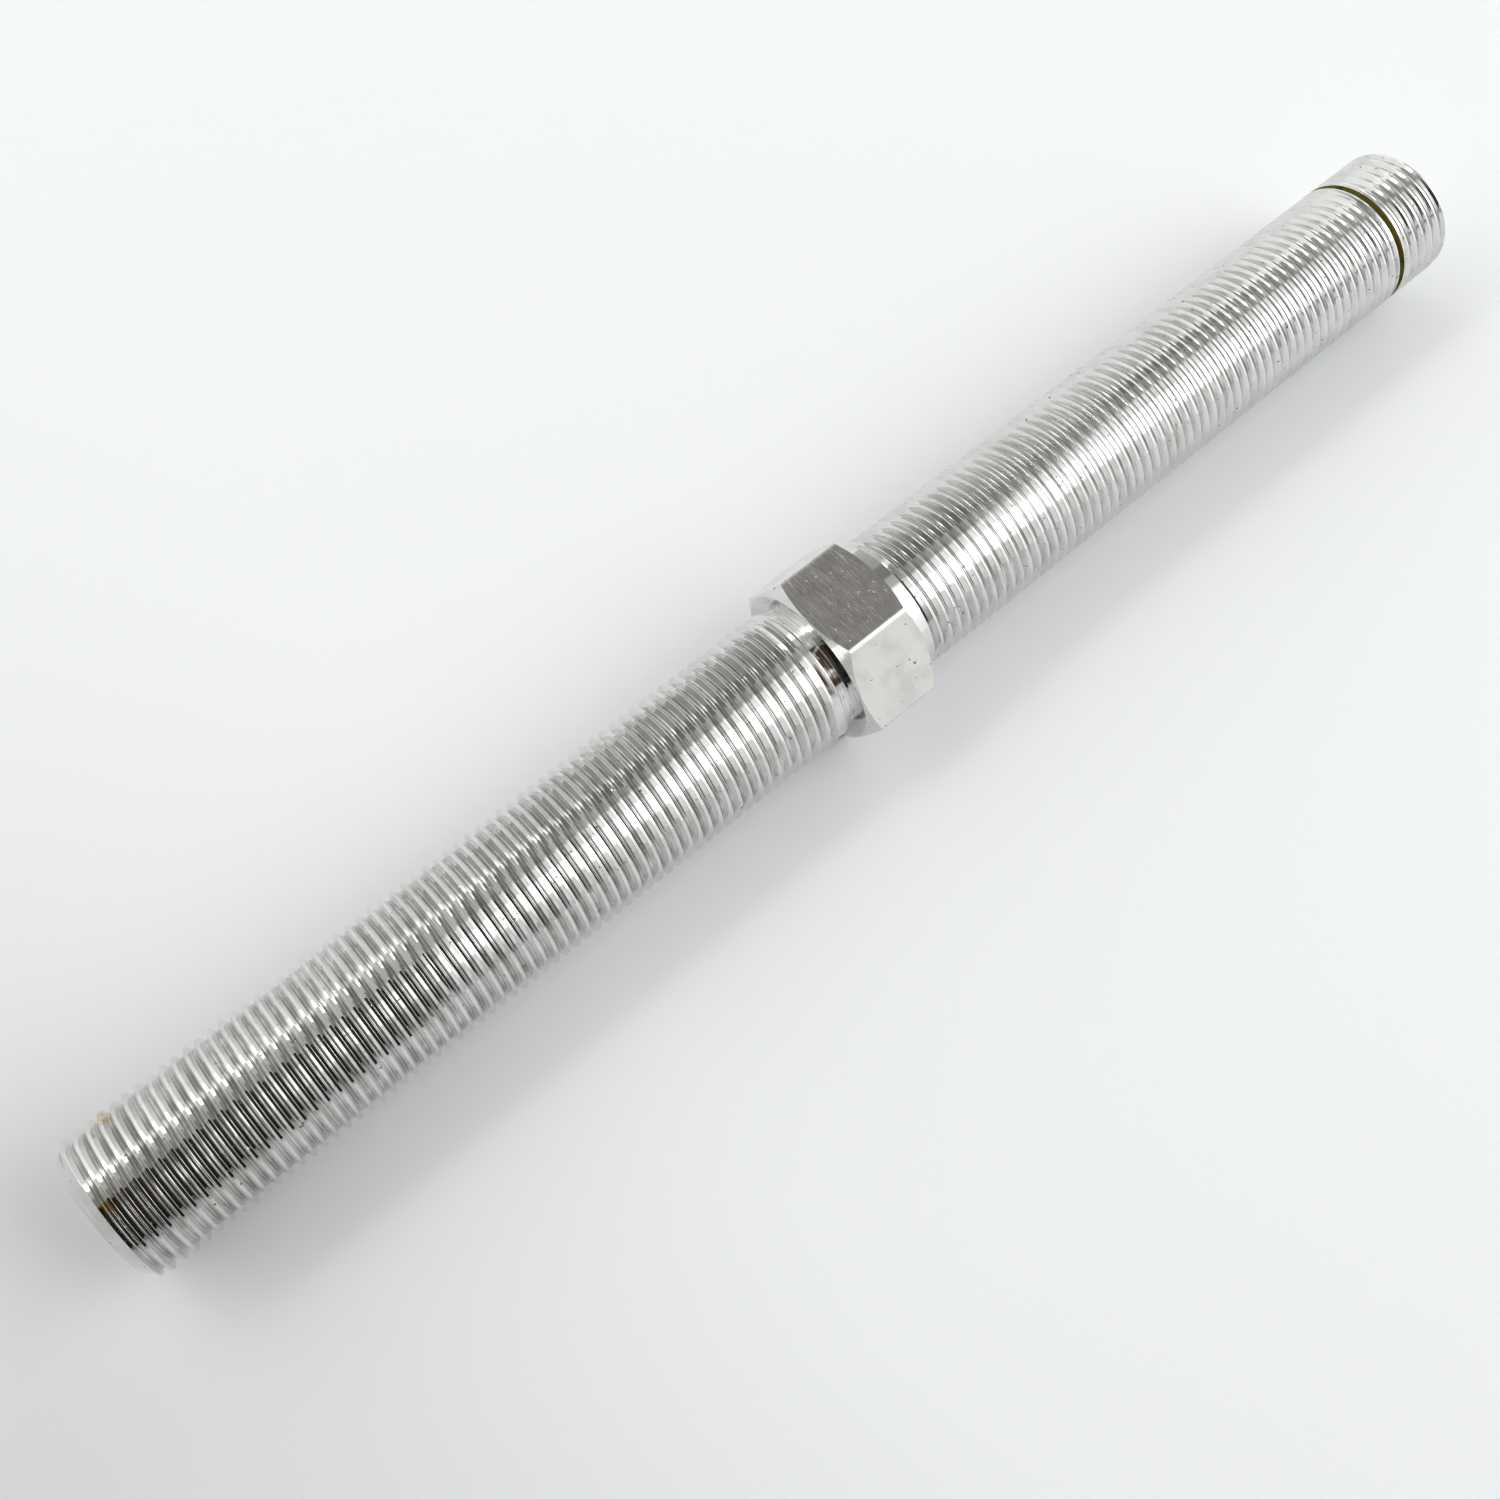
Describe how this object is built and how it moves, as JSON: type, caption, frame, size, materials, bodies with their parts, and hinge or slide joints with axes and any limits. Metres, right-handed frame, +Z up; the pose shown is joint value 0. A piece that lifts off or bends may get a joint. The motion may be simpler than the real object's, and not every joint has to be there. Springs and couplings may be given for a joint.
{
  "type": "linkage adjuster rod",
  "caption": "Straight steel adjuster rod with opposite-hand threads on its two ends and a spanner hexagon between them.",
  "frame": {"origin": "on the surface the rod lies on, below the middle of its length", "axes": "+X along the rod from the left-hand thread to the right-hand thread, +Z up, square to the hexagon flat that faces up"},
  "size_m": [0.2064, 0.024, 0.021],
  "materials": {
    "zinc_steel": "bright zinc plate, glossy on the threads and brushed on the hexagon flats"
  },
  "bodies": {
    "root": {"adjuster_rod": "zinc_steel"}
  },
  "joints": []
}
